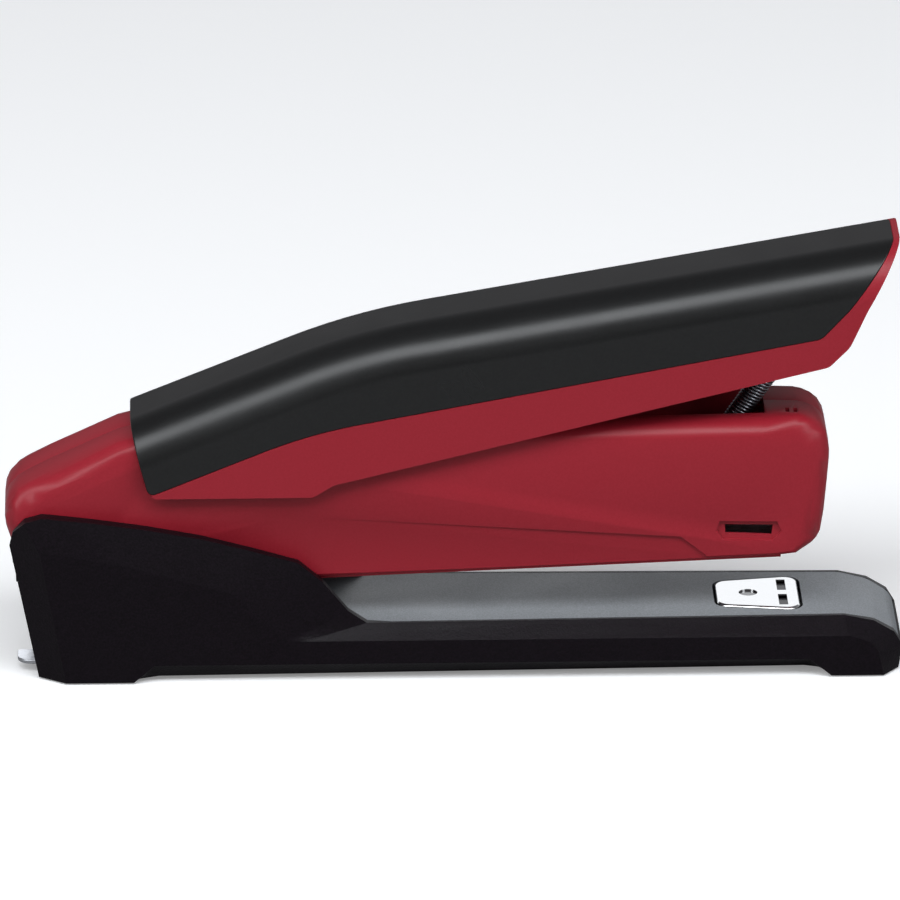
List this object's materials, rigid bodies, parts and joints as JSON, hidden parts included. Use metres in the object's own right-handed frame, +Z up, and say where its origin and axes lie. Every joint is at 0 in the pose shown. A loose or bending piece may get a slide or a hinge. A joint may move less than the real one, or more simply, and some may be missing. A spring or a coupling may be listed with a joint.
{
  "type": "desktop stapler",
  "caption": "Full-strip desktop stapler with a long arched lever handle, spring-driven blade, slide-out staple track and opening base.",
  "frame": {"origin": "on the desk under the middle of the stapler", "axes": "+X towards the nose, +Z up, +Y to the left of someone behind the tail"},
  "size_m": [0.1998, 0.038, 0.0991],
  "materials": {
    "red_plastic": "satin moulded",
    "black_gloss": "smooth semi-gloss",
    "black_textured": "fine spark texture",
    "black_plastic": "moulded",
    "grey_matt": "matt moulded",
    "chrome": "polished",
    "zinc_steel": "zinc plated",
    "spring_steel": "drawn wire",
    "staple_wire": "bright galvanised wire",
    "rubber": "matt"
  },
  "bodies": {
    "base": {"base_shell": "black_textured", "base_top_plate": "grey_matt", "anvil_plate": "chrome", "anvil_rivet": "chrome", "base_stiffener": "zinc_steel", "base_bottom_cover": "black_plastic", "base_screws": "zinc_steel", "rear_foot_pad": "rubber", "front_foot_pad": "rubber", "staple_remover": "zinc_steel", "body_pivot_pin": "zinc_steel", "body_lift_spring": "spring_steel"},
    "body": {"housing_right": "red_plastic", "housing_left": "red_plastic", "housing_screws": "zinc_steel", "magazine_chamber": "zinc_steel", "striker_guide": "zinc_steel", "staple_strip": "staple_wire", "lever_pin": "zinc_steel", "power_spring": "spring_steel", "handle_pin": "zinc_steel", "handle_return_spring": "spring_steel"},
    "lever": {"lever": "zinc_steel"},
    "striker": {"striker": "zinc_steel"},
    "track": {"track_rail": "zinc_steel", "track_pull": "black_plastic", "pusher_rod": "zinc_steel", "pusher_spring": "spring_steel", "latch_pin": "zinc_steel"},
    "pusher": {"staple_pusher": "black_plastic"},
    "latch": {"track_latch": "black_plastic"},
    "handle": {"handle_cover": "black_gloss", "handle_frame": "red_plastic", "handle_presser": "black_plastic"}
  },
  "joints": [
    {"name": "body_hinge", "type": "hinge", "parent": "base", "child": "body", "pos_m": [-0.08, 0, 0.03], "axis": [0, 1, 0], "range_deg": [-85, 4.6], "stiffness_Nm_per_rad": 0.3, "springref_deg": -17.19, "deforming": ["body_lift_spring"]},
    {"name": "handle_hinge", "type": "hinge", "parent": "body", "child": "handle", "pos_m": [-0.062, 0, 0.05], "axis": [0, 1, 0], "range_deg": [0, 12], "stiffness_Nm_per_rad": 0.4, "springref_deg": -22.92, "deforming": ["power_spring", "handle_return_spring"]},
    {"name": "lever_hinge", "type": "hinge", "parent": "body", "child": "lever", "pos_m": [0.0461, 0, 0.048], "axis": [0, 1, 0], "range_deg": [-15.7, 0]},
    {"name": "striker_slide", "type": "slide", "parent": "body", "child": "striker", "axis": [-0.0384, 0, 0.9993], "range_m": [0, 0.0077]},
    {"name": "track_slide", "type": "slide", "parent": "body", "child": "track", "axis": [-0.9993, 0, -0.0384], "range_m": [0, 0.095]},
    {"name": "pusher_slide", "type": "slide", "parent": "track", "child": "pusher", "axis": [0.9993, 0, 0.0384], "range_m": [-0.05, 0], "stiffness_N_per_m": 60, "springref_m": 0.03, "deforming": ["pusher_spring"]},
    {"name": "latch_hinge", "type": "hinge", "parent": "track", "child": "latch", "pos_m": [-0.09051, 0, 0.02453], "axis": [0, 1, 0], "range_deg": [0, 6], "stiffness_Nm_per_rad": 0.01, "springref_deg": -17.19}
  ],
  "couplings": [
    {"joint": "lever_hinge", "follows": "handle_hinge", "ratio": -1.2975},
    {"joint": "striker_slide", "follows": "handle_hinge", "m_per_rad": 0.036287}
  ]
}
